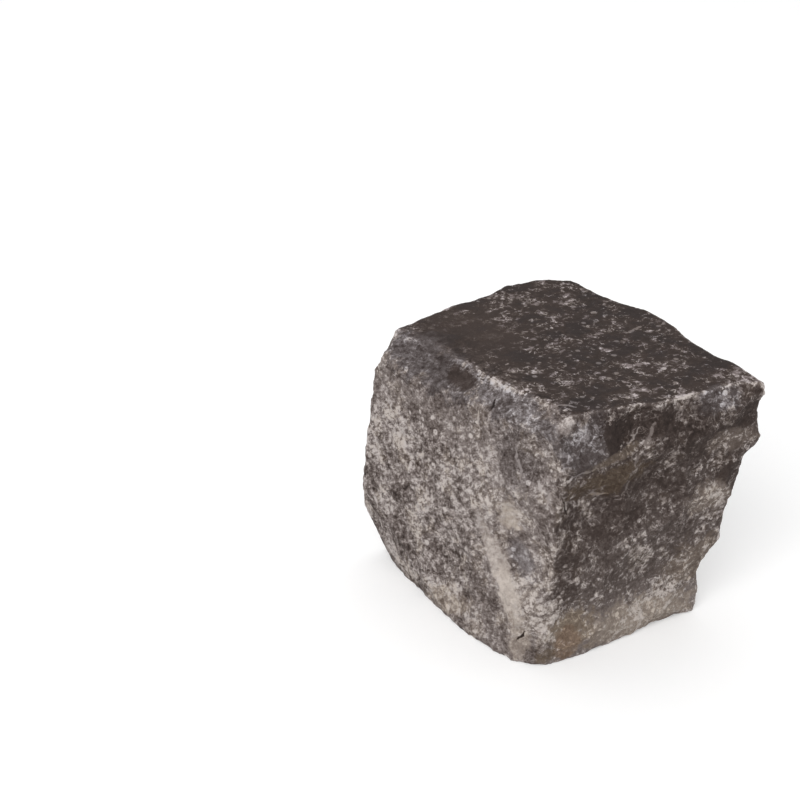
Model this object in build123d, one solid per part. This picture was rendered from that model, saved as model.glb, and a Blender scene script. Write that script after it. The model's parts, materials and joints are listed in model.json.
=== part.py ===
"""Basalt cobblestone: one hand-split sett, roughly a ten-centimetre cube.

The stone is a rough block that is split to shape by hammer blows. Every blow either cleaves a plane
off one side, or knocks a hollow, shell-shaped flake off an edge. All marks are measured inwards from
the sides of the rough block, and they grow with its height, so they follow the block when its size
changes.

Millimetres. The origin is on the floor, under the middle of the block. X runs along the front side,
Y from front to back, and Z up.
"""

from build123d import *
import math
import os

# The rough block that the stone is split from.
length = 100.0
width = 120.0
height = 100.0

# Marks are given in hundredths of the height: on a stone that is 100 mm high, one mark is 1 mm.
mark = height / 100

# Which way each side of the block faces, and which two sides close its ends.
OUTWARD = {"left": (-1, 0), "right": (1, 0), "front": (0, -1), "back": (0, 1)}
ENDS = {
    "left": ("front", "back"), "right": ("front", "back"),
    "front": ("left", "right"), "back": ("left", "right"),
}


def place(**insets):
    """A point given by how many marks in it lies from three sides, such as place(left=4, front=10, top=0)."""
    spot = {
        "left": (0, -length / 2, 1),
        "right": (0, length / 2, -1),
        "front": (1, -width / 2, 1),
        "back": (1, width / 2, -1),
        "bottom": (2, 0, 1),
        "top": (2, height, -1),
    }
    point = [0.0, 0.0, 0.0]
    for side, inset in insets.items():
        axis, start, inwards = spot[side]
        point[axis] = start + inwards * inset * mark
    return Vector(*point)


def cleave(stone, first, second, third):
    """Splits the stone along the plane through three points and keeps its heart."""
    outward = (second - first).cross(third - first).normalized()
    heart = Vector(0, 0, height / 2)
    if (heart - first).dot(outward) > 0:
        outward = -outward
    return split(stone, bisect_by=Plane(origin=first, z_dir=outward), keep=Keep.BOTTOM)


def dress_side(stone, side, level, start, end, lean):
    """Cleaves one side. start and end are the insets at the side's two ends, in marks, measured at level
    marks above the floor. lean is the angle by which the plane slopes out towards its top."""
    first_end, second_end = ENDS[side]
    first = place(**{side: start, first_end: 0, "bottom": level})
    second = place(**{side: end, second_end: 0, "bottom": level})
    out_x, out_y = OUTWARD[side]
    rise = Vector(out_x * math.tan(math.radians(lean)), out_y * math.tan(math.radians(lean)), 1)
    return cleave(stone, first, second, first + rise * height)


def flake(stone, at, towards, across, depth):
    """Knocks off a shell-shaped flake: a shallow round hollow that is across wide and depth deep, both in
    marks, centred at a point on the surface, which opens in the direction towards."""
    radius = (across**2 / 4 + depth**2) / (2 * depth) * mark
    centre = at + Vector(*towards).normalized() * (radius - depth * mark)
    return stone - Pos(centre) * Sphere(radius)


def cobblestone():
    stone = Pos(0, 0, height / 2) * Box(length, width, height)

    # Left side: a front facet, a rear facet and the undercut below it.
    stone = dress_side(stone, "left", level=100, start=18.0, end=-3.0, lean=-3.4)
    stone = dress_side(stone, "left", level=0, start=7.0, end=0.0, lean=0.0)
    stone = dress_side(stone, "left", level=0, start=-0.8, end=8.6, lean=13.8)

    # Front side: an upper facet that overhangs to the right and a lower one.
    stone = dress_side(stone, "front", level=100, start=14.2, end=-1.1, lean=3.7)
    stone = dress_side(stone, "front", level=0, start=16.8, end=16.4, lean=9.9)

    # Right side.
    stone = dress_side(stone, "right", level=100, start=7.0, end=-6.3, lean=-7.0)
    stone = dress_side(stone, "right", level=100, start=-9.0, end=10.0, lean=0.0)
    stone = dress_side(stone, "right", level=0, start=16.5, end=10.0, lean=10.5)

    # Back side.
    stone = dress_side(stone, "back", level=100, start=15.0, end=-6.3, lean=-10.0)
    stone = dress_side(stone, "back", level=0, start=2.0, end=12.4, lean=6.0)

    # Corners and edges split off by single blows.
    stone = cleave(  # bevel along the rear half of the top left edge
        stone,
        place(left=13.7, front=78, top=0),
        place(left=10, front=105.5, top=0),
        place(left=2.4, front=87, top=7.7),
    )
    stone = cleave(  # top corner at the back right
        stone,
        place(right=23, back=0, top=0),
        place(right=3.5, back=17.5, top=0),
        place(right=3, back=3, top=60),
    )
    stone = cleave(  # bottom corner at the back left
        stone,
        place(left=6.5, back=19, bottom=0),
        place(left=12, back=3, bottom=0),
        place(left=2.5, back=5, bottom=20),
    )
    stone = cleave(  # bottom corner at the front left
        stone,
        place(left=7.5, front=27.0, bottom=0),
        place(left=17, front=16.5, bottom=0),
        place(left=12.5, front=14.0, bottom=45),
    )

    # Flakes off the left side, the bevel above it and its edges.
    stone = flake(stone, place(left=3.4, back=8, top=6), (-1, 0.8, 0.4), across=26, depth=6)
    stone = flake(stone, place(left=10, front=84, top=2.5), (-0.6, 0, 0.8), across=26, depth=2.5)
    stone = flake(stone, place(left=10.2, front=66, top=3.8), (-0.6, -0.1, 0.8), across=19, depth=1.5)
    stone = flake(stone, place(left=11.6, front=47, top=4.8), (-0.65, -0.1, 0.75), across=20, depth=1.4)
    stone = flake(stone, place(left=14.4, front=31, top=4.0), (-0.6, -0.2, 0.8), across=18, depth=1.3)
    stone = flake(stone, place(left=17.6, front=16.6, top=2.8), (-0.5, -0.6, 0.6), across=11, depth=1.2)
    stone = flake(stone, place(left=13.4, front=19.7, top=20), (-1, -0.17, 0.06), across=28, depth=2)
    stone = flake(stone, place(left=11.2, front=21, top=55), (-1, -0.17, 0.06), across=40, depth=3)
    stone = flake(stone, place(left=10.2, front=34.8, bottom=57), (-0.92, -0.36, -0.1), across=18, depth=1.1)
    stone = flake(stone, place(left=13.2, front=21.5, bottom=67), (-0.95, -0.3, 0.1), across=18, depth=1.2)
    stone = flake(stone, place(left=11.5, front=29.5, bottom=38), (-0.94, -0.3, 0.15), across=22, depth=1.5)
    stone = flake(stone, place(left=9, front=24.5, bottom=11), (-0.8, -0.6, -0.1), across=17, depth=1.3)
    stone = flake(stone, place(left=2.5, front=80, bottom=62), (-1, -0.06, 0.02), across=42, depth=1.1)
    stone = flake(stone, place(left=5.9, front=53, bottom=68), (-1, -0.16, 0.05), across=34, depth=1.1)
    stone = flake(stone, place(left=3.4, front=66, bottom=25), (-1, -0.1, 0), across=36, depth=1.2)

    # Flakes off the front side: the scoop at the corner, facets along the top, the ledge and the foot.
    stone = flake(stone, place(left=27, front=10.5, top=7), (-0.15, -1, 0.35), across=38, depth=3)
    stone = flake(stone, place(left=25.5, front=12.6, top=11.5), (-0.35, -0.9, 0.25), across=17, depth=1.4)
    stone = flake(stone, place(left=37.2, front=10.7, top=9), (0.35, -0.95, 0.1), across=14, depth=1.8)
    stone = flake(stone, place(left=47.5, front=8.0, top=10.5), (-0.3, -0.95, 0.1), across=16, depth=1.2)
    stone = flake(stone, place(left=62, front=5.4, top=10), (-0.1, -1, 0.15), across=24, depth=1.5)
    stone = flake(stone, place(left=75, front=2.9, top=4), (0.1, -0.85, 0.5), across=15, depth=1.3)
    stone = flake(stone, place(left=85.2, front=2.2, top=17), (0.3, -0.95, 0), across=15, depth=1.4)
    stone = flake(stone, place(left=29, front=11.5, top=31), (-0.1, -1, -0.3), across=30, depth=2.7)
    stone = flake(stone, place(left=48, front=9.0, top=30), (0, -1, -0.25), across=28, depth=2.2)
    stone = flake(stone, place(left=67, front=6.3, top=32), (0.1, -1, -0.1), across=26, depth=1.4)
    stone = flake(stone, place(left=85.2, front=5.4, top=39), (0.4, -0.9, -0.1), across=15, depth=1.3)
    stone = flake(stone, place(left=42, front=11.8, bottom=41), (-0.1, -1, 0), across=36, depth=1.4)
    stone = flake(stone, place(left=69, front=10.0, bottom=39), (0.05, -1, -0.15), across=38, depth=1.5)
    stone = flake(stone, place(left=31, front=14.9, bottom=15), (-0.2, -1, 0), across=24, depth=1.3)
    stone = flake(stone, place(left=54, front=14.9, bottom=12), (0, -1, 0.1), across=28, depth=1.4)
    stone = flake(stone, place(left=74, front=14.4, bottom=12), (0.2, -1, -0.1), across=22, depth=1.3)
    stone = flake(stone, place(left=63, front=16.2, bottom=0), (0.1, -1, -0.6), across=30, depth=2)

    # Flakes that notch the upright edge at the front right, from its top to its foot.
    stone = flake(stone, place(right=5.8, front=1.2, top=12), (1, -0.6, 0), across=14, depth=1.5)
    stone = flake(stone, place(right=5.6, front=6.6, bottom=61.5), (1, -0.4, 0.1), across=16, depth=2.1)
    stone = flake(stone, place(right=8.8, front=10, bottom=43), (1, -0.4, -0.1), across=30, depth=2.4)
    stone = flake(stone, place(right=13.2, front=14, bottom=18), (1, -0.4, -0.1), across=24, depth=3.6)

    # Flakes off the right side.
    stone = flake(stone, place(right=3.4, front=31, top=0), (1, 0, 0.3), across=40, depth=3)
    stone = flake(stone, place(right=4, front=75, bottom=50), (1, 0.1, 0), across=56, depth=3.5)
    stone = flake(stone, place(right=13, front=95, bottom=3), (1, 0, -0.4), across=24, depth=2.5)
    stone = flake(stone, place(right=1.4, front=33, bottom=76), (1, -0.1, 0), across=28, depth=1.6)
    stone = flake(stone, place(right=0.9, front=56, bottom=84), (1, 0.1, 0.1), across=26, depth=1.5)
    stone = flake(stone, place(right=4.5, front=86, bottom=86), (1, 0.2, 0.15), across=30, depth=1.8)
    stone = flake(stone, place(right=6.6, front=30, bottom=44), (1, -0.1, -0.15), across=30, depth=1.8)
    stone = flake(stone, place(right=8.4, front=53, bottom=28), (1, 0, -0.2), across=30, depth=1.6)
    stone = flake(stone, place(right=12, front=33, bottom=14), (1, 0, -0.2), across=28, depth=1.7)
    stone = flake(stone, place(right=7, front=98, bottom=50), (1, 0.2, 0), across=26, depth=1.5)
    stone = flake(stone, place(right=9, front=84, bottom=17), (1, 0, -0.2), across=30, depth=1.6)

    # Flakes off the back side.
    stone = flake(stone, place(left=61, back=3.5, bottom=50), (0, 1, 0.05), across=60, depth=3.5)
    stone = flake(stone, place(left=71, back=9, bottom=4), (0, 1, -0.4), across=26, depth=3)
    stone = flake(stone, place(left=19, back=8.3, bottom=84), (-0.15, 1, 0.1), across=28, depth=1.7)
    stone = flake(stone, place(left=43, back=3.9, bottom=88), (0, 1, 0.2), across=30, depth=1.8)
    stone = flake(stone, place(left=76, back=2.6, bottom=86), (0.1, 1, 0.1), across=28, depth=1.6)
    stone = flake(stone, place(left=17, back=3.2, bottom=52), (-0.15, 1, 0), across=26, depth=1.5)
    stone = flake(stone, place(left=87, back=5.0, bottom=58), (0.2, 1, 0), across=26, depth=1.5)
    stone = flake(stone, place(left=32, back=2.6, bottom=27), (-0.05, 1, -0.1), across=32, depth=1.7)
    stone = flake(stone, place(left=57, back=6.0, bottom=20), (0, 1, -0.1), across=28, depth=1.5)
    stone = flake(stone, place(left=84, back=8.4, bottom=24), (0.1, 1, -0.1), across=26, depth=1.6)
    stone = flake(stone, place(left=26, back=5.2, bottom=0), (0, 1, -0.6), across=26, depth=2)

    # The marks leave the stone slightly off centre on the block, so it is moved back over the origin.
    middle = stone.bounding_box().center()
    return Pos(-middle.X, -middle.Y, 0) * stone


if __name__ == "__main__":
    os.makedirs("parts", exist_ok=True)
    export_step(cobblestone(), "parts/cobblestone.step")
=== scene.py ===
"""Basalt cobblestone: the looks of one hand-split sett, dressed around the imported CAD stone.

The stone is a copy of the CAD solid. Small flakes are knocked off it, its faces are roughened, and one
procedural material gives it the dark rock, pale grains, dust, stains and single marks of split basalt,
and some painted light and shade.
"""

import json
import math
import random

import bmesh
import bpy
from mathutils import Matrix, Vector

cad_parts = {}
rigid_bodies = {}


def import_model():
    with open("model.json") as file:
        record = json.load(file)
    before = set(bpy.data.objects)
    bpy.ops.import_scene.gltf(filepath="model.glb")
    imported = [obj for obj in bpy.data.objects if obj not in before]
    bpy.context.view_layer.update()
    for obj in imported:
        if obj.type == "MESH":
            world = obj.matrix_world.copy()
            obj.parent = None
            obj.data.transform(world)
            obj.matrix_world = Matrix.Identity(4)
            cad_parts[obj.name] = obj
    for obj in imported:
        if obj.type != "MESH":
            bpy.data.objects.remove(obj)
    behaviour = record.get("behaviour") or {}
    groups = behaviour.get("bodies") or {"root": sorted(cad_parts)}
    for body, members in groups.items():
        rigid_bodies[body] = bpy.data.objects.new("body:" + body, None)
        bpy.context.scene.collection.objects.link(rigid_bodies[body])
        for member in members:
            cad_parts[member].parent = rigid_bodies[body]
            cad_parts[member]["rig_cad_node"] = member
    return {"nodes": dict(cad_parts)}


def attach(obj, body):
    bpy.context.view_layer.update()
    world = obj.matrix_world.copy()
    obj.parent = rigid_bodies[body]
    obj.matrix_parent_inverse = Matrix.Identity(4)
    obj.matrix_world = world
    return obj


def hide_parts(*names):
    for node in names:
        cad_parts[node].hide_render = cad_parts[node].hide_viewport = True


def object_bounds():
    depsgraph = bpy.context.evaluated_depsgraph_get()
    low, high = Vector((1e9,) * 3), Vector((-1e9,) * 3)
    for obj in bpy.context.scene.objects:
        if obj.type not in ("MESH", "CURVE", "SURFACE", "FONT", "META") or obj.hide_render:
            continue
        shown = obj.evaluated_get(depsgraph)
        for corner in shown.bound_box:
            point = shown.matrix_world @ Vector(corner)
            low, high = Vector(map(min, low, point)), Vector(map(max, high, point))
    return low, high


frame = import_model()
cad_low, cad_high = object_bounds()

MM = 0.001

# How many shallow facets cover the sides, how far apart chips lie along the edges, and how fine the mesh
# of the broken rock is, the last two in millimetres.
FACETS = 260
CHIP_SPACING = 9
VOXEL = 0.82


def srgb(red, green, blue):
    """A linear colour from the 0 to 255 values that a paint chart gives."""
    def linear(value):
        value = value / 255
        return value / 12.92 if value <= 0.04045 else ((value + 0.055) / 1.055) ** 2.4
    return (linear(red), linear(green), linear(blue), 1.0)


# The rock's colours from bare stone to bruised grain, each at its place on the scale of tone.
ROCK_COLOURS = [
    (0.0, srgb(38, 31, 28)),
    (0.2, srgb(64, 54, 50)),
    (0.45, srgb(98, 88, 84)),
    (0.7, srgb(138, 128, 124)),
    (1.0, srgb(198, 189, 185)),
]

# Tints that multiply the rock's colour.
OLIVE_BROWN = (1.07, 1.0, 0.82, 1)
BLUE_GREY = (0.93, 0.98, 1.06, 1)
LAVENDER = (0.95, 0.94, 1.0, 1)
RUST = (1.07, 0.97, 0.90, 1)


def place(**insets):
    """A point given by how many millimetres in it lies from three sides of the stone."""
    spot = {
        "left": (0, cad_low, 1), "right": (0, cad_high, -1),
        "front": (1, cad_low, 1), "back": (1, cad_high, -1),
        "bottom": (2, cad_low, 1), "top": (2, cad_high, -1),
    }
    point = Vector((0, 0, 0))
    for side, inset in insets.items():
        axis, start, inwards = spot[side]
        point[axis] = start[axis] + inwards * inset * MM
    return point


# The stone's shape

def copy_of_node(name):
    """A copy of a CAD node with merged vertices, as the rough start of a new piece."""
    bpy.ops.object.select_all(action="DESELECT")
    node = frame["nodes"][name]
    bpy.context.view_layer.objects.active = node
    node.select_set(True)
    bpy.ops.object.duplicate()
    piece = bpy.context.active_object
    bpy.ops.object.parent_clear(type="CLEAR_KEEP_TRANSFORM")
    del piece["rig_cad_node"]
    bpy.ops.object.mode_set(mode="EDIT")
    bpy.ops.mesh.select_all(action="SELECT")
    bpy.ops.mesh.remove_doubles(threshold=0.02 * MM)
    bpy.ops.object.mode_set(mode="OBJECT")
    return piece


def apply_modifier(piece, kind, **settings):
    bpy.context.view_layer.objects.active = piece
    modifier = piece.modifiers.new(kind.lower(), kind)
    for key, value in settings.items():
        setattr(modifier, key, value)
    bpy.ops.object.modifier_apply(modifier=modifier.name)


def cloud(name, size, depth, basis="IMPROVED_PERLIN", kind="SOFT_NOISE"):
    texture = bpy.data.textures.new(name, "CLOUDS")
    texture.noise_scale = size * MM
    texture.noise_depth = depth
    texture.noise_basis = basis
    texture.noise_type = kind
    return texture


def roughen(piece, texture, strength, group):
    """Moves the surface in and out by the texture, strength millimetres in all."""
    apply_modifier(piece, "DISPLACE", texture=texture, strength=strength * MM, mid_level=0.5,
                   texture_coords="LOCAL", direction="NORMAL", vertex_group=group)


def edge_points(piece, spacing, sharpness):
    """Points along the sharp outer edges of a piece, each with the direction that the edge faces."""
    mesh = bmesh.new()
    mesh.from_mesh(piece.data)
    points = []
    for edge in mesh.edges:
        if edge.is_convex and edge.calc_face_angle() > math.radians(sharpness):
            facing = (edge.link_faces[0].normal + edge.link_faces[1].normal).normalized()
            start, end = edge.verts[0].co.copy(), edge.verts[1].co.copy()
            share = edge.calc_length() / (spacing * MM)
            count = int(share) + (random.random() < share % 1)
            for step in range(count):
                points.append((start.lerp(end, (step + random.random()) / count), facing))
    mesh.free()
    return points


def face_points(piece, count, wanted):
    """Points spread by area over the faces that are wanted, each with the face's normal."""
    faces = [face for face in piece.data.polygons if wanted(face)]
    picked = random.choices(faces, weights=[face.area for face in faces], k=count)
    points = []
    for face in picked:
        corners = [piece.data.vertices[index].co for index in face.vertices]
        shares = [random.random() for corner in corners]
        spot = sum((corner * share for corner, share in zip(corners, shares)), Vector()) / sum(shares)
        points.append((spot, face.normal.copy()))
    return points


def knock_off(piece, at, facing, across, depth, crests, spare):
    """Takes a shell-shaped flake off the piece, as a hammer blow does, unless it would cut more than spare
    millimetres into one of the crests."""
    across, depth = across * MM, depth * MM
    facing = facing.normalized()
    radius = (across ** 2 / 4 + depth ** 2) / (2 * depth)
    middle = at + facing * (radius - depth)
    if any((crest - middle).length < radius - spare * MM for crest in crests):
        return
    fineness = 5 if radius > 25 * MM else 4
    bpy.ops.mesh.primitive_ico_sphere_add(subdivisions=fineness, radius=radius, location=middle)
    cutter = bpy.context.active_object
    cutter.rotation_euler = [random.uniform(0, math.tau) for axis in range(3)]
    apply_modifier(piece, "BOOLEAN", object=cutter, operation="DIFFERENCE", solver="MANIFOLD")
    bpy.data.objects.remove(cutter)


def tilted(facing, most):
    return (facing + Vector([random.uniform(-most, most) for axis in range(3)])).normalized()


def shape_flakes(stone):
    """Adds the small marks of the hammer: shallow facets on every side, and chips along the edges."""
    crests = [at for at, facing in edge_points(stone, spacing=1.5, sharpness=12)]
    for at, facing in face_points(stone, FACETS, lambda face: abs(face.normal.z) < 0.6):
        across, depth = random.uniform(7, 18), random.uniform(0.35, 0.8)
        knock_off(stone, at, tilted(facing, 0.06), across, depth, crests, spare=0.3)
    for at, facing in edge_points(stone, CHIP_SPACING, sharpness=35):
        # The sharp top corner at the front right stays whole, and the upper front edges get finer chips.
        corner = at.x > 30 * MM and at.y < -35 * MM and at.z > 80 * MM
        fine = facing.y < -0.3 and at.z > 40 * MM
        across = random.uniform(3, 7) if fine else random.uniform(5, 10)
        depth = random.uniform(0.25, 0.55) if fine else random.uniform(0.4, 0.9)
        if not corner:
            knock_off(stone, at, tilted(facing, 0.25), across, depth, crests, spare=1.0)


def weigh(stone, name, weight):
    """A vertex group whose weights come from a function of the vertex."""
    group = stone.vertex_groups.new(name=name)
    for vertex in stone.data.vertices:
        group.add([vertex.index], weight(vertex), "REPLACE")
    return name


def level_base(stone):
    """Cuts off what reaches below the floor and closes the underside."""
    bpy.context.view_layer.objects.active = stone
    bpy.ops.object.mode_set(mode="EDIT")
    bpy.ops.mesh.select_all(action="SELECT")
    bpy.ops.mesh.bisect(plane_co=(0, 0, 0), plane_no=(0, 0, 1), use_fill=True, clear_inner=True,
                        threshold=1e-7)
    bpy.ops.mesh.select_all(action="SELECT")
    bpy.ops.mesh.quads_convert_to_tris()
    bpy.ops.object.mode_set(mode="OBJECT")


def model_stone():
    random.seed(11)
    stone = copy_of_node("cobblestone")
    stone.name = "stone"
    shape_flakes(stone)
    apply_modifier(stone, "REMESH", mode="VOXEL", voxel_size=VOXEL * MM)
    apply_modifier(stone, "SMOOTH", factor=0.25, iterations=1)
    # The flat top is smoother than the split sides.
    rough = weigh(stone, "rough", lambda vertex: 0.3 if vertex.co.z > 98 * MM else 1.0)
    roughen(stone, cloud("swells", 14, depth=1), 0.9, rough)
    roughen(stone, cloud("splits", 6, depth=2, basis="VORONOI_F2_F1", kind="HARD_NOISE"), 0.6, rough)
    roughen(stone, cloud("grain", 2.4, depth=2), 0.5, rough)
    level_base(stone)
    stone.data.materials.clear()
    stone.vertex_groups.clear()
    bpy.ops.object.shade_smooth()
    return stone


# The stone's surface

class Recipe:
    """Builds a node material step by step. Lengths are in millimetres."""

    def __init__(self, name):
        self.material = bpy.data.materials.new(name)
        self.material.use_nodes = True
        self.tree = self.material.node_tree
        self.shader = self.tree.nodes["Principled BSDF"]
        coordinates = self.tree.nodes.new("ShaderNodeTexCoord").outputs["Object"]
        self.spot = self.node("ShaderNodeMapping", {"Vector": coordinates, "Scale": [1 / MM] * 3}).outputs[0]

    def node(self, kind, inputs=None, **settings):
        node = self.tree.nodes.new(kind)
        for key, value in settings.items():
            setattr(node, key, value)
        for key, value in (inputs or {}).items():
            if isinstance(value, bpy.types.NodeSocket):
                self.tree.links.new(value, node.inputs[key])
            else:
                node.inputs[key].default_value = value
        return node

    def number(self, operation, first, second=0.0, third=0.0):
        return self.node("ShaderNodeMath", {0: first, 1: second, 2: third}, operation=operation).outputs[0]

    def add(self, first, second, share=1.0):
        """first + second * share"""
        return self.number("MULTIPLY_ADD", second, share, first)

    def less(self, first, second):
        return self.number("SUBTRACT", first, second)

    def times(self, first, second):
        return self.number("MULTIPLY", first, second)

    def larger(self, first, second):
        return self.number("MAXIMUM", first, second)

    def vector(self, operation, first, second=(0, 0, 0), third=(0, 0, 0), result="Vector"):
        inputs = {0: first, 1: second, 2: third}
        return self.node("ShaderNodeVectorMath", inputs, operation=operation).outputs[result]

    def turn(self, spot, angles):
        """Coordinates turned by angles in degrees."""
        inputs = {"Vector": spot, "Rotation": [math.radians(angle) for angle in angles]}
        return self.node("ShaderNodeMapping", inputs).outputs[0]

    def noise(self, size, detail=2.0, roughness=0.5, distortion=0.0, spot=None, result="Fac"):
        return self.node("ShaderNodeTexNoise", {
            "Vector": spot or self.spot, "Scale": 1 / size, "Detail": detail,
            "Roughness": roughness, "Distortion": distortion,
        }).outputs[result]

    def swing(self, value):
        """Noise that swings about 0 instead of 0.5."""
        return self.less(value, 0.5)

    def step(self, value, low, high, bottom=0.0, top=1.0):
        """bottom where value is low or less, top where it is high or more, and smooth between."""
        inputs = {"Value": value, "From Min": low, "From Max": high, "To Min": bottom, "To Max": top}
        return self.node("ShaderNodeMapRange", inputs, interpolation_type="SMOOTHSTEP").outputs["Result"]

    def wisps(self, size, width):
        """Thin winding lines, drawn where noise crosses its middle and broken by coarser noise."""
        line = self.number("ABSOLUTE", self.swing(self.noise(size, 4, 0.5, 0.6)))
        broken = self.noise(size * 1.1, 3, 0.6)
        return self.times(self.step(line, width, width * 0.4), self.step(broken, 0.50, 0.56))

    def specks(self, spacing, size):
        """Scattered round dots of different sizes."""
        cells = self.node("ShaderNodeTexVoronoi", {"Vector": self.spot, "Scale": 1 / spacing}).outputs
        chance = self.node("ShaderNodeSeparateXYZ", {0: cells["Color"]}).outputs[0]
        reach = self.step(chance, 0.55, 1.0, 0.0, size / spacing)
        return self.step(self.less(cells["Distance"], reach), 0.0, -0.12)

    def mix(self, factor, first, second):
        """Blends two numbers."""
        return self.node("ShaderNodeMix", {0: factor, 2: first, 3: second}, data_type="FLOAT").outputs[0]

    def tint(self, factor, colour, tint):
        """Multiplies a colour by a tint where the factor is 1."""
        inputs = {0: factor, 6: colour, 7: tint}
        return self.node("ShaderNodeMix", inputs, data_type="RGBA", blend_type="MULTIPLY").outputs[2]

    def profile(self, value, stops):
        """A curve through (position, height) stops, or a scale through (position, colour) stops."""
        ramp = self.node("ShaderNodeValToRGB", {"Fac": value})
        elements = ramp.color_ramp.elements
        while len(elements) < len(stops):
            elements.new(0.5)
        for element, (position, colour) in zip(elements, stops):
            element.position = position
            element.color = colour if isinstance(colour, tuple) else (colour, colour, colour, 1)
        return ramp.outputs["Color"]

    def patch(self, centre, radii, turn, ragged, soft):
        """1 inside an ellipsoid around centre and 0 outside, with a ragged border."""
        offset = self.turn(self.vector("SUBTRACT", self.spot, centre / MM), turn)
        shrunk = self.vector("MULTIPLY", offset, [1 / radius for radius in radii])
        distance = self.add(self.vector("LENGTH", shrunk, result="Value"), ragged)
        return self.step(distance, 1 - soft, 1 + soft, 1.0, 0.0)

    def stroke(self, side, start, end, width, uneven, spot):
        """1 along the line from start to end on one side of the stone, and 0 beside it, narrower towards
        its ends. How deep the line lies counts little, because the surface waves about it."""
        flat = Vector({"left": (0.25, 1, 1), "front": (1, 0.25, 1), "top": (1, 1, 0.25)}[side])
        start, line = start / MM * flat, (end - start) / MM * flat
        offset = self.vector("MULTIPLY_ADD", spot, flat, -start)
        share = self.vector("DOT_PRODUCT", offset, line / line.length_squared, result="Value")
        share = self.node("ShaderNodeClamp", {0: share}).outputs[0]
        nearest = self.node("ShaderNodeVectorMath", {0: line, "Scale": share}, operation="SCALE").outputs[0]
        distance = self.vector("DISTANCE", offset, nearest, result="Value")
        reach = self.add(0.2, self.times(share, self.less(1.0, share)), 1.4)
        away = self.add(self.times(distance, 1 / width), uneven)
        return self.step(self.less(away, reach), 0.1, -0.25)


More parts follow.
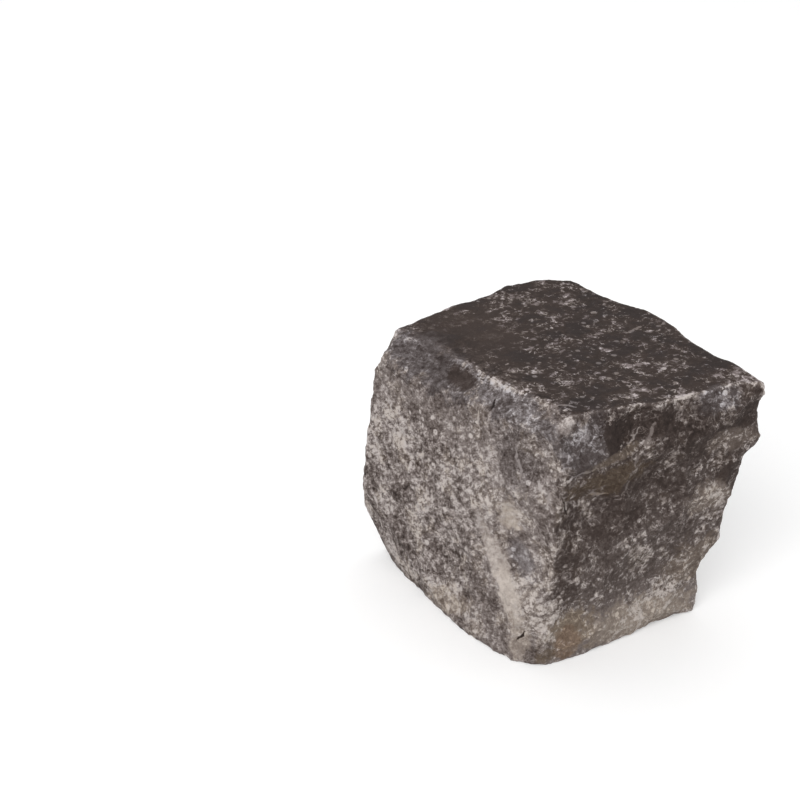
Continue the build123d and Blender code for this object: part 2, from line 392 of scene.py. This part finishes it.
class SplitBasalt(Recipe):
    """The rock as fields over its surface, which dust, grains, marks and painted light and shade change one
    after another.

    tone runs from 0, bare dark rock, to 1, pale dust and bruised grain, and in places it also carries painted
    light and shade. brown and cool say how much of those tints the rock takes. Where calm is 1, neither
    mottling nor grains show."""

    def __init__(self):
        super().__init__("split_basalt")
        self.x, self.y, self.z = self.node("ShaderNodeSeparateXYZ", {0: self.spot}).outputs
        geometry = self.node("ShaderNodeNewGeometry").outputs
        self.pointed = geometry["Pointiness"]
        self.facing_up = self.node("ShaderNodeSeparateXYZ", {0: geometry["Normal"]}).outputs[2]

        # Noise of several sizes, each swinging about 0, and coordinates that draw it out down the left side.
        self.broad = self.swing(self.noise(24, 3, 0.55))
        self.middle = self.swing(self.noise(9, 4, 0.6, 0.4))
        self.small = self.swing(self.noise(3.6, 4, 0.65, 0.3))
        self.fine = self.swing(self.noise(1.3, 4, 0.7))
        self.slanted = self.vector("MULTIPLY", self.turn(self.spot, (31.5, 0, 0)), (1, 0.7, 1))
        self.ragged = self.add(self.add(self.times(self.middle, 1.8), self.small, 1.8), self.fine, 0.8)

    def lighten(self, where, share):
        """Raises the tone by share where a field is 1. A share below 0 darkens."""
        self.tone = self.add(self.tone, where, share)

    def spread(self, centre, radii, turn=(0, 0, 0), soft=0.3, tone=None, hold=0.9, **tints):
        """Lays a patch with its own tone, tint or calm over the rock. hold is how well it covers the tone."""
        inside = self.patch(centre, radii, turn, self.ragged, soft)
        if tone is not None:
            self.tone = self.mix(self.times(inside, hold), self.tone, tone)
        for field, value in tints.items():
            setattr(self, field, self.mix(inside, getattr(self, field), value))

    def lay_sides(self):
        """Gives the top, left and front their tones. The left side is paler than the front partly as painted
        light from the front left, and the top is the darkest. The borders between them wander with the noise.
        """
        flat = self.step(self.add(self.facing_up, self.middle, 0.3), 0.80, 0.92)
        self.top = self.times(self.step(self.z, 96.5, 98), flat)
        diagonal = self.add(self.add(self.less(self.y, self.x), self.middle, 7), self.small, 5)
        beside = self.step(self.add(self.x, self.middle, 14), -22, -31)
        self.left = self.times(self.step(diagonal, -10.5, -8), beside)

        height = self.times(self.add(self.z, self.add(self.middle, self.broad), 45), 1 / 100)
        # Painted light, in part: the left side's tone is paler than the front's, as if lit from the front
        # left.
        tone_left = self.profile(height, [(0.0, 0.53), (0.3, 0.55), (0.6, 0.58), (0.85, 0.52), (1.0, 0.38)])
        tone_front = self.profile(height, [
            (0.0, 0.60), (0.14, 0.54), (0.26, 0.41), (0.5, 0.33), (0.8, 0.24), (1.0, 0.22),
        ])
        self.tone = self.mix(self.top, self.mix(self.left, tone_front, tone_left), 0.15)
        self.lighten(self.broad, 0.25)

        blotches = self.add(self.middle, self.broad, 0.6)
        self.brown = self.step(blotches, 0.03, 0.14, 0.0, 0.35)
        self.cool = self.times(self.top, self.step(blotches, -0.02, -0.12, 0.0, 0.8))
        self.calm = self.step(self.small, 0.08, 0.15, 0.0, 0.3)

    def lay_bevel_and_corner(self):
        # Bevel along the top left: cooler and dark, with a patch of painted shade below its crest for the
        # hollow there.
        self.spread(place(left=8.5, front=82, top=4), (9, 33, 7.5), tone=0.34, cool=1.0, brown=0.0, calm=0.25)
        self.spread(place(left=13, front=40, top=4), (7, 24, 5.5), tone=0.42, cool=0.9, brown=0.0, calm=0.1)
        # Painted shade for the hollow below the bevel's crest.
        self.spread(place(left=10.2, front=66, top=3.8), (4.5, 7, 3.5), soft=0.25,
                    tone=0.20, cool=0.3, calm=0.7)
        # Painted light on a paler part of the left side, and painted shade on a darker part beside the
        # corner.
        self.spread(place(left=3.3, front=83, bottom=58), (6, 16, 20), (25, 0, 0), soft=0.5,
                    tone=0.58, hold=0.5)
        self.spread(place(left=11.5, front=32, top=20), (5, 8, 12), soft=0.6, tone=0.40, cool=0.4, hold=0.4)
        # The scoop at the corner: blue grey and frosted, with the bruised spot above it.
        self.spread(place(left=25.5, front=12.8, top=11), (12.5, 7, 10),
                    tone=0.34, cool=0.9, brown=0.0, calm=0.1)
        self.spread(place(left=19.2, front=15.8, top=3.4), (3.2, 3.4, 3.4),
                    tone=0.80, cool=0.0, brown=0.0, hold=0.85)

    def lay_front(self):
        # The smooth dark facet beside the scoop, and the cream ledge below it.
        self.spread(place(left=37.2, front=10.4, top=10), (6, 5, 9.5), soft=0.12,
                    tone=0.15, hold=1.0, calm=1.0, brown=0.0, cool=0.3)
        self.spread(place(left=36, front=10, top=17.5), (10, 5, 1.9), (0, 14, 0),
                    tone=0.54, brown=0.7, calm=0.2, hold=0.65)
        # Painted shade on the front beside the upright edge, and olive brown below the ledge.
        self.spread(place(left=21, front=15.5, bottom=46), (6, 6, 20), soft=0.4,
                    tone=0.20, hold=0.7, calm=0.2)
        self.spread(place(left=33, front=11, top=27), (16, 6, 6), (0, 10, 0), tone=0.31, brown=1.0, calm=0.4)
        # The bluish end of the front edge, the dark notch and the pale facets under it.
        self.spread(place(left=75, front=2.6, top=3.5), (9, 5, 5), tone=0.36, cool=0.9, brown=0.0)
        self.spread(place(left=86, front=2, top=17), (5, 5, 4), soft=0.15, tone=0.14, calm=0.9)
        self.spread(place(left=84, front=4.6, top=22), (10, 6, 5), tone=0.52, brown=0.3, hold=0.85)
        self.spread(place(left=85, front=5, top=37), (5, 5, 6), soft=0.15, tone=0.18, calm=0.8)
        self.spread(place(left=79, front=6.7, bottom=54), (9, 7, 6.5), tone=0.66, brown=0.4, hold=0.8)
        # Pale dust at the foot, with a rusty part at its left.
        self.spread(place(left=54, front=15, bottom=8), (30, 8, 8.5), (0, -4, 0),
                    tone=0.77, calm=0.3, brown=0.5, hold=0.9)
        self.spread(place(left=80, front=13, bottom=25), (12, 9, 10),
                    tone=0.56, calm=0.1, brown=0.5, hold=0.8)
        self.spread(place(left=25, front=16, bottom=13), (9, 8, 9), tone=0.60, brown=0.9, calm=0.35)
        self.spread(place(left=24, front=16, bottom=8), (3.5, 6, 5), tone=0.56, brown=0.8, calm=0.5)
        self.spread(place(left=15.5, front=17, bottom=4.5), (3.5, 6, 3.5), tone=0.46, brown=0.9, calm=0.5)

    def lay_left_and_top(self):
        # The lavender facet beside the streak.
        self.spread(place(left=11.5, front=29.5, bottom=39), (5, 4, 8), (30, 0, 0),
                    tone=0.50, cool=0.8, brown=0.0, calm=0.3)
        # The pale streak down the left side, from its middle to its thin upper end and its foot.
        self.spread(place(left=7.5, front=39, bottom=37), (5, 3.6, 13), (28, 0, 0),
                    tone=0.86, calm=0.65, brown=0.2, hold=0.95)
        self.spread(place(left=8.5, front=30, bottom=23), (5, 4.8, 11), (33, 0, 0),
                    tone=0.92, calm=0.7, brown=0.3, hold=1.0)
        self.spread(place(left=6.8, front=46.5, bottom=48), (5, 1.5, 6.5), (27, 0, 0), soft=0.2,
                    tone=0.78, calm=0.6)
        self.spread(place(left=9, front=26, bottom=12), (5, 4, 9), tone=0.78, calm=0.5, brown=0.4)
        # The cream facet above the streak, and pale dust low at the back.
        self.spread(place(left=10.8, front=35.5, bottom=55.5), (5, 4.6, 6.5),
                    tone=0.86, calm=0.8, brown=0.45, hold=0.95)
        self.spread(place(left=3.4, front=62, bottom=8), (5, 14, 5), (20, 0, 0),
                    tone=0.72, calm=0.4, brown=0.5, hold=0.7)
        # Plain dark rock at the back left of the top.
        self.spread(place(left=30, front=88, top=0), (20, 24, 4), calm=0.7)

    def mottle_left(self):
        """Mottles the left side all over, in several sizes, and more coarsely away from the corner."""
        self.vivid = self.less(1.0, self.calm)
        blots = self.swing(self.noise(8, 5, 0.62, 0.5, self.slanted))
        flecks = self.swing(self.noise(2.0, 5, 0.80, 0.3, self.slanted))
        mottled = self.add(self.times(blots, 0.6), flecks, 1.35)
        coarse = self.times(self.step(self.y, -25, 5), self.step(self.z, 82, 68))
        self.lighten(self.times(self.times(mottled, self.vivid), self.left), self.mix(coarse, 1.25, 2.1))
        self.lighten(self.times(coarse, self.left), 0.035)

    def by_side(self, front, left, top):
        """A value that differs between the front, the left and the top."""
        return self.mix(self.top, self.mix(self.left, front, left), top)

    def strew_grains(self):
        """Adds pale grains in clusters, dark spots of painted shade for tiny hollows, thin wisps and specks.
        """
        front, left = self.noise(2.0, 6, 0.7, 0.25), self.noise(1.5, 5, 0.75, 0.2, self.slanted)
        self.grains = self.by_side(front, left, self.noise(2.8, 6, 0.68, 0.4))
        cluster = self.add(self.times(self.middle, self.mix(self.left, 0.6, 0.4)), self.small, 0.3)
        cluster = self.add(cluster, self.broad, self.mix(self.top, 0.5, 0.1))
        edge = self.less(self.add(self.mix(self.top, 0.55, 0.585), self.calm, 0.06), cluster)
        over = self.less(self.grains, edge)

        self.pale = self.step(over, self.mix(self.left, -0.03, -0.08), self.mix(self.left, 0.06, 0.14))
        self.lighten(self.times(self.pale, self.by_side(0.36, 0.26, 0.42)), self.vivid)
        bright = self.times(self.step(over, 0.06, 0.15), self.step(self.fine, -0.04, 0.06))
        self.lighten(self.times(bright, self.vivid), 0.24)
        # Painted shade: dark spots that stand for the shade in tiny hollows of the rock.
        pit_shade = self.times(self.step(over, -0.09, -0.17), self.vivid)
        self.lighten(self.times(pit_shade, self.mix(self.top, 0.12, 0.04)), -1.0)

        wisps = self.larger(self.wisps(7, 0.022), self.wisps(3.6, 0.03))
        near = self.step(over, self.mix(self.top, -0.26, -0.16), self.mix(self.top, -0.10, -0.04))
        self.lighten(self.times(self.times(wisps, near), self.vivid), self.by_side(0.30, 0.15, 0.55))
        haze = self.times(self.times(near, self.top), self.step(self.middle, -0.1, 0.15))
        self.lighten(haze, 0.06)
        self.lighten(self.times(self.specks(4.2, 1.3), self.vivid), 0.45)

    def frost_crests_and_paint_relief_light(self):
        """Frosts the top edges, pales what stands out, partly as bruising and partly as painted highlight,
        and puts painted shade in what lies deep.
        """
        crest = self.times(self.step(self.pointed, 0.515, 0.56), self.step(self.z, 93, 96))
        brink = self.times(self.step(self.facing_up, 0.5, 0.7), self.step(self.facing_up, 0.98, 0.90))
        brink = self.times(brink, self.step(self.add(self.z, self.small, 2), 97.2, 98.2))
        most = self.patch(place(left=13, front=60, top=2.5), (9, 17, 7), (0, 0, 0), self.ragged, 0.5)
        crest = self.times(self.larger(crest, brink), self.mix(self.left, 1.0, self.add(0.4, most, 0.7)))
        crumbs = self.step(self.add(self.grains, self.middle, 0.5), 0.40, 0.60)
        self.lighten(self.times(crest, crumbs), 0.34)
        self.lighten(self.times(self.fine, self.mix(self.top, 0.45, 0.18)), 1.0)
        # Painted highlight, partly bruising, on what stands out, then painted shade in what lies deep.
        self.lighten(self.step(self.pointed, 0.505, 0.56), 0.16)
        self.lighten(self.step(self.pointed, 0.49, 0.43), -0.2)

    def draw_marks(self):
        """Draws the single pale lines and cracks. Each runs from a start to an end, which are given by their
        insets from the left, the front and the bottom, and has a width."""
        waver = self.vector("SUBTRACT", self.noise(4, result="Color"), (0.5, 0.5, 0.5))
        winding = self.vector("MULTIPLY_ADD", waver, (3, 3, 3), self.spot)
        uneven = self.add(self.times(self.small, 0.8), self.fine, 1.2)
        crumbly = self.step(self.grains, 0.34, 0.46)

        def line(side, start, end, width):
            ends = [place(left=left, front=front, bottom=bottom) for left, front, bottom in (start, end)]
            return self.stroke(side, *ends, width, uneven, winding)

        def pale_line(side, start, end, width, tone):
            self.tone = self.mix(self.times(line(side, start, end, width), crumbly), self.tone, tone)

        def crack(side, start, end, width):
            self.tone = self.mix(line(side, start, end, width), self.tone, 0.05)

        pale_line("left", (8.4, 51.7, 91), (8.1, 51.1, 84.3), 1.7, 0.85)
        pale_line("left", (7.6, 43.8, 54.2), (7.6, 43.8, 52.6), 2.4, 0.92)
        pale_line("left", (11.1, 33.9, 83.4), (11.1, 29.7, 70.4), 1.0, 0.72)
        pale_line("left", (14, 23.5, 74.4), (14.4, 22.2, 70.2), 1.7, 0.9)
        pale_line("left", (15.7, 17, 72.7), (14.9, 20.3, 66), 1.6, 0.78)
        pale_line("left", (11.5, 20, 26.9), (14.6, 16.9, 31.8), 1.0, 0.9)
        crack("left", (12.4, 48.7, 95.2), (10.4, 46.8, 91.4), 0.9)
        crack("left", (9.4, 26.3, 8.1), (10.9, 23.2, 14), 0.9)
        # The lower edge of the scoop, then the dashes of the front side and the crack under the scoop.
        pale_line("front", (15.4, 16.5, 75.7), (19, 12.8, 79.2), 1.5, 0.9)
        pale_line("front", (19, 12.8, 79), (29, 11.5, 80), 1.0, 0.6)
        pale_line("front", (28, 14.6, 68.1), (36, 13.8, 67.5), 1.0, 0.68)
        pale_line("front", (47.9, 11.8, 91.1), (42.1, 11.1, 84.5), 0.9, 0.75)
        pale_line("front", (51.8, 9.1, 92), (47.5, 8.5, 83), 1.2, 0.58)
        pale_line("front", (54.7, 6.7, 86.4), (54.7, 6.7, 85.4), 2.2, 0.65)
        crack("front", (16, 14.2, 71.6), (20, 15.2, 62), 0.8)
        pale_line("top", (20.8, 26.7, 99.5), (26.6, 21, 100), 1.3, 0.65)
        pale_line("top", (78.2, 57.9, 100), (87.9, 60, 100), 1.2, 0.6)

    def colour_rock(self):
        """Turns tone and tints into the rock's colour, and gives it the finest grain as bump."""
        colour = self.profile(self.tone, ROCK_COLOURS)
        stained = self.times(self.brown, self.mix(self.larger(self.pale, self.top), 1.0, 0.35))
        colour = self.tint(stained, colour, OLIVE_BROWN)
        colour = self.tint(self.cool, colour, BLUE_GREY)
        colour = self.tint(self.times(self.top, self.pale), colour, LAVENDER)
        rusty = self.patch(place(left=24, front=16, bottom=8.5), (5, 6, 6), (0, 0, 0), self.ragged, 0.4)
        colour = self.tint(rusty, colour, RUST)

        self.tree.links.new(colour, self.shader.inputs["Base Color"])
        self.shader.inputs["Roughness"].default_value = 0.85
        self.shader.inputs["Specular IOR Level"].default_value = 0.15
        relief = self.add(self.noise(0.9, 4, 0.65), self.pale, 0.3)
        bump = self.node("ShaderNodeBump", {"Height": relief, "Strength": 0.8, "Distance": 0.5 * MM})
        self.tree.links.new(bump.outputs["Normal"], self.shader.inputs["Normal"])


def stone_material():
    rock = SplitBasalt()
    rock.lay_sides()
    rock.lay_bevel_and_corner()
    rock.lay_front()
    rock.lay_left_and_top()
    rock.mottle_left()
    rock.strew_grains()
    rock.frost_crests_and_paint_relief_light()
    rock.draw_marks()
    rock.colour_rock()
    return rock.material


# The studio

def set_camera():
    azimuth, elevation = math.radians(-33), math.radians(27)
    backwards = Vector((
        math.sin(azimuth) * math.cos(elevation),
        -math.cos(azimuth) * math.cos(elevation),
        math.sin(elevation),
    ))
    bpy.ops.object.camera_add(location=(-0.38207, -0.48184, 0.39148))
    camera = bpy.context.active_object
    camera.name = "camera"
    camera.rotation_euler = backwards.to_track_quat("Z", "Y").to_euler()
    camera.data.lens = 85
    camera.data.sensor_width = 36
    camera.data.clip_start = 0.01
    bpy.context.scene.camera = camera


def any_ray(tree, *kinds):
    """1 for the kinds of light ray that are named, and 0 for the others."""
    path = tree.nodes.new("ShaderNodeLightPath")
    found = path.outputs[kinds[0]]
    for kind in kinds[1:]:
        either = tree.nodes.new("ShaderNodeMath")
        either.operation = "MAXIMUM"
        tree.links.new(found, either.inputs[0])
        tree.links.new(path.outputs[kind], either.inputs[1])
        found = either.outputs[0]
    return found


def set_floor():
    """A pale floor that glows a little where it is seen, and so looks white apart from the shadow."""
    bpy.ops.mesh.primitive_plane_add(size=8, location=(0, 0, 0))
    floor = bpy.context.active_object
    floor.name = "floor"
    material = bpy.data.materials.new("pale_floor")
    material.use_nodes = True
    nodes, links = material.node_tree.nodes, material.node_tree.links
    paint = nodes["Principled BSDF"]
    paint.inputs["Base Color"].default_value = (0.8, 0.8, 0.8, 1)
    paint.inputs["Roughness"].default_value = 0.9
    glow = nodes.new("ShaderNodeEmission")
    glow.inputs["Color"].default_value = (0.3, 0.3, 0.3, 1)
    links.new(any_ray(material.node_tree, "Is Camera Ray", "Is Glossy Ray"), glow.inputs["Strength"])
    both = nodes.new("ShaderNodeAddShader")
    links.new(paint.outputs[0], both.inputs[0])
    links.new(glow.outputs[0], both.inputs[1])
    links.new(both.outputs[0], nodes["Material Output"].inputs["Surface"])
    floor.data.materials.append(material)


def set_world():
    """A white world, which lights the stone more softly than it looks."""
    world = bpy.data.worlds.new("studio")
    bpy.context.scene.world = world
    world.use_nodes = True
    nodes, links = world.node_tree.nodes, world.node_tree.links
    background = nodes["Background"]
    background.inputs["Color"].default_value = (1, 1, 1, 1)
    strength = nodes.new("ShaderNodeMapRange")
    strength.inputs["To Min"].default_value = 0.58
    strength.inputs["To Max"].default_value = 1.0
    seen = any_ray(world.node_tree, "Is Camera Ray", "Is Glossy Ray", "Is Transmission Ray")
    links.new(seen, strength.inputs["Value"])
    links.new(strength.outputs["Result"], background.inputs["Strength"])


def set_lamp(name, location, size, watts):
    """A square soft lamp that points at the middle of the stone."""
    bpy.ops.object.light_add(type="AREA", location=location)
    lamp = bpy.context.active_object
    lamp.name = name
    lamp.data.size = size
    lamp.data.energy = watts
    lamp.rotation_euler = (Vector(location) - Vector((0, 0, 0.05))).to_track_quat("Z", "Y").to_euler()


set_camera()
stone = model_stone()
stone.data.materials.append(stone_material())
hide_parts("cobblestone")
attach(stone, "root")
set_floor()
set_world()
set_lamp("key_lamp", (-1.4, -0.9, 1.5), size=1.2, watts=24)
set_lamp("top_lamp", (0.4, 0.6, 2.0), size=1.6, watts=7)

scene = bpy.context.scene
scene.view_settings.view_transform = "Standard"
